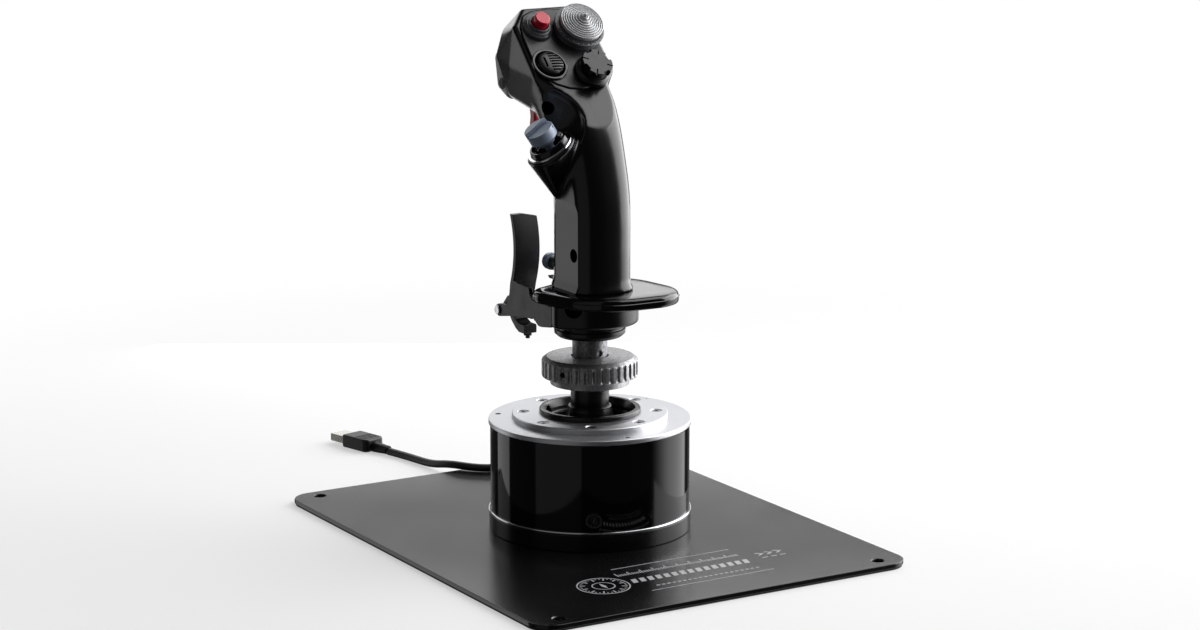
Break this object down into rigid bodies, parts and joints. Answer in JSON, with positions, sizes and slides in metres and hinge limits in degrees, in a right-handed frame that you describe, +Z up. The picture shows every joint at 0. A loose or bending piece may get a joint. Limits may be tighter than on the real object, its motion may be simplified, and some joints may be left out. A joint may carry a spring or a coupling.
{
  "type": "flight joystick",
  "caption": "Desk flight joystick: gimballed metal grip with hats, buttons, trigger and pinky lever on a round housing bolted to a flat steel plate, with a coiled USB cord.",
  "frame": {"origin": "on the table, straight below the upright stick's axis, at the plate mat's underside", "axes": "+X to the pilot's right, +Y forward away from the pilot, +Z up"},
  "size_m": [0.226, 0.3958, 0.2849],
  "materials": {
    "powder_coated_steel": "satin black powder coat",
    "mat_rubber": "matt black rubber sheet",
    "gloss_black_enamel": "gloss black stoved enamel",
    "satin_black_metal": "satin black",
    "polished_steel": "polished",
    "brushed_aluminium": "brushed and clear anodised",
    "zinc_steel": "turned, dull zinc plate",
    "screw_steel": "plated steel",
    "black_screw_steel": "blackened steel",
    "cast_metal": "die cast",
    "grip_paint": "semi-gloss black paint with fine texture",
    "gloss_black_plastic": "gloss black",
    "black_plastic": "fine moulded black",
    "grey_plastic": "satin dark grey",
    "silver_plastic": "silver-grey satin",
    "blue_grey_plastic": "blue-grey moulded",
    "red_plastic": "bright red moulded",
    "circuit_board": "green solder mask",
    "cord_sheath": "black PVC sheath",
    "tie_fabric": "woven hook-and-loop strap",
    "plug_metal": "nickel plated"
  },
  "bodies": {
    "base": {"base_plate": "powder_coated_steel", "plate_mat": "mat_rubber", "plate_screws": "screw_steel", "foot_ring": "satin_black_metal", "trim_ring": "polished_steel", "base_housing": "gloss_black_enamel", "top_disc": "brushed_aluminium", "cover_plate": "brushed_aluminium", "cover_screws": "screw_steel", "gate_ring": "satin_black_metal", "gimbal_housing": "cast_metal", "return_spring": "screw_steel", "sensor_board": "circuit_board", "cord_gland": "cord_sheath", "cord_lead": "cord_sheath", "cord_coil": "cord_sheath", "cord_tie": "tie_fabric", "cord_tail": "cord_sheath", "plug_grip": "cord_sheath", "plug_shell": "plug_metal"},
    "gimbal": {"gimbal_ring": "cast_metal"},
    "stick": {"stick_post": "satin_black_metal", "dust_cone": "black_plastic", "sensor_magnet": "screw_steel", "connector_tube": "zinc_steel", "collar_ring": "satin_black_metal", "rest_block": "satin_black_metal", "hand_rest": "gloss_black_plastic", "block_screw": "black_screw_steel", "grip_left": "grip_paint", "grip_right": "grip_paint", "shell_screws": "black_screw_steel", "button_panel": "grip_paint", "head_nose": "grey_plastic", "grip_board": "circuit_board", "front_lip": "black_plastic", "pinky_bezel": "grey_plastic", "trigger_pin": "screw_steel", "paddle_bracket": "satin_black_metal", "paddle_pin": "polished_steel", "button_collar": "grey_plastic", "trim_base": "grey_plastic", "target_bezel": "black_plastic", "display_base": "black_plastic", "thumb_ring": "polished_steel"},
    "nut_carrier": {"nut_washer": "zinc_steel"},
    "nut": {"lock_nut": "zinc_steel", "nut_set_screw": "black_screw_steel"},
    "pinky_switch": {"pinky_button": "blue_grey_plastic"},
    "trigger_lever": {"trigger": "red_plastic"},
    "paddle": {"paddle_lever": "satin_black_metal"},
    "release": {"release_button": "red_plastic"},
    "trim_cross": {"trim_rocker": "grey_plastic"},
    "trim_switch": {"trim_hat": "silver_plastic"},
    "target_cross": {"target_rocker": "grey_plastic"},
    "target_switch": {"target_hat": "black_plastic"},
    "display_cross": {"display_rocker": "grey_plastic"},
    "display_switch": {"display_hat": "black_plastic"},
    "thumb_cross": {"thumb_rocker": "grey_plastic"},
    "thumb_switch": {"thumb_hat": "blue_grey_plastic"}
  },
  "joints": [
    {"name": "stick_pitch", "type": "hinge", "parent": "base", "child": "gimbal", "pos_m": [0, 0, 0.05], "axis": [1, 0, 0], "range_deg": [-20, 20], "stiffness_Nm_per_rad": 6},
    {"name": "stick_roll", "type": "hinge", "parent": "gimbal", "child": "stick", "pos_m": [0, 0, 0.05], "axis": [0, 1, 0], "range_deg": [-20, 20], "stiffness_Nm_per_rad": 6},
    {"name": "nut_climb", "type": "slide", "parent": "stick", "child": "nut_carrier", "axis": [0, 0, 1], "range_m": [0, 0.00805]},
    {"name": "nut_turn", "type": "hinge", "parent": "nut_carrier", "child": "nut", "pos_m": [0, 0, 0.09], "axis": [0, 0, 1], "range_deg": [0, 1440]},
    {"name": "pinky_press", "type": "slide", "parent": "stick", "child": "pinky_switch", "axis": [0, 1, 0], "range_m": [-0.0015, 0], "stiffness_N_per_m": 900},
    {"name": "trigger_pull", "type": "hinge", "parent": "stick", "child": "trigger_lever", "pos_m": [0, 0.057, 0.237], "axis": [1, 0, 0], "range_deg": [-10, 0], "stiffness_Nm_per_rad": 0.6},
    {"name": "paddle_pull", "type": "hinge", "parent": "stick", "child": "paddle", "pos_m": [-0.016, 0.052, 0.117], "axis": [1, 0, 0], "range_deg": [0, 8], "stiffness_Nm_per_rad": 1.2},
    {"name": "release_press", "type": "slide", "parent": "stick", "child": "release", "axis": [0, -0.7071, 0.7071], "range_m": [-0.002, 0], "stiffness_N_per_m": 900},
    {"name": "trim_side", "type": "hinge", "parent": "stick", "child": "trim_cross", "pos_m": [0.0114, 0.0369, 0.26561], "axis": [0, 0.7071, 0.7071], "range_deg": [-4, 4], "stiffness_Nm_per_rad": 0.15},
    {"name": "trim_fore", "type": "hinge", "parent": "trim_cross", "child": "trim_switch", "pos_m": [0.0114, 0.0369, 0.26561], "axis": [1, 0, 0], "range_deg": [-4, 4], "stiffness_Nm_per_rad": 0.15},
    {"name": "target_side", "type": "hinge", "parent": "stick", "child": "target_cross", "pos_m": [-0.014, 0.02205, 0.25076], "axis": [0, 0.7071, 0.7071], "range_deg": [-5, 5], "stiffness_Nm_per_rad": 0.15},
    {"name": "target_fore", "type": "hinge", "parent": "target_cross", "child": "target_switch", "pos_m": [-0.014, 0.02205, 0.25076], "axis": [1, 0, 0], "range_deg": [-5, 5], "stiffness_Nm_per_rad": 0.15},
    {"name": "display_side", "type": "hinge", "parent": "stick", "child": "display_cross", "pos_m": [0.0088, 0.01689, 0.2456], "axis": [0, 0.7071, 0.7071], "range_deg": [-6, 6], "stiffness_Nm_per_rad": 0.15},
    {"name": "display_fore", "type": "hinge", "parent": "display_cross", "child": "display_switch", "pos_m": [0.0088, 0.01689, 0.2456], "axis": [1, 0, 0], "range_deg": [-6, 6], "stiffness_Nm_per_rad": 0.15},
    {"name": "thumb_side", "type": "hinge", "parent": "stick", "child": "thumb_cross", "pos_m": [-0.02332, -0.003, 0.21002], "axis": [0, 1, 0], "range_deg": [-8, 8], "stiffness_Nm_per_rad": 0.15},
    {"name": "thumb_fore", "type": "hinge", "parent": "thumb_cross", "child": "thumb_switch", "pos_m": [-0.02332, -0.003, 0.21002], "axis": [0.829, 0, 0.5592], "range_deg": [-8, 8], "stiffness_Nm_per_rad": 0.15}
  ],
  "couplings": [
    {"joint": "nut_climb", "follows": "nut_turn", "m_per_rad": 0.00031831}
  ]
}
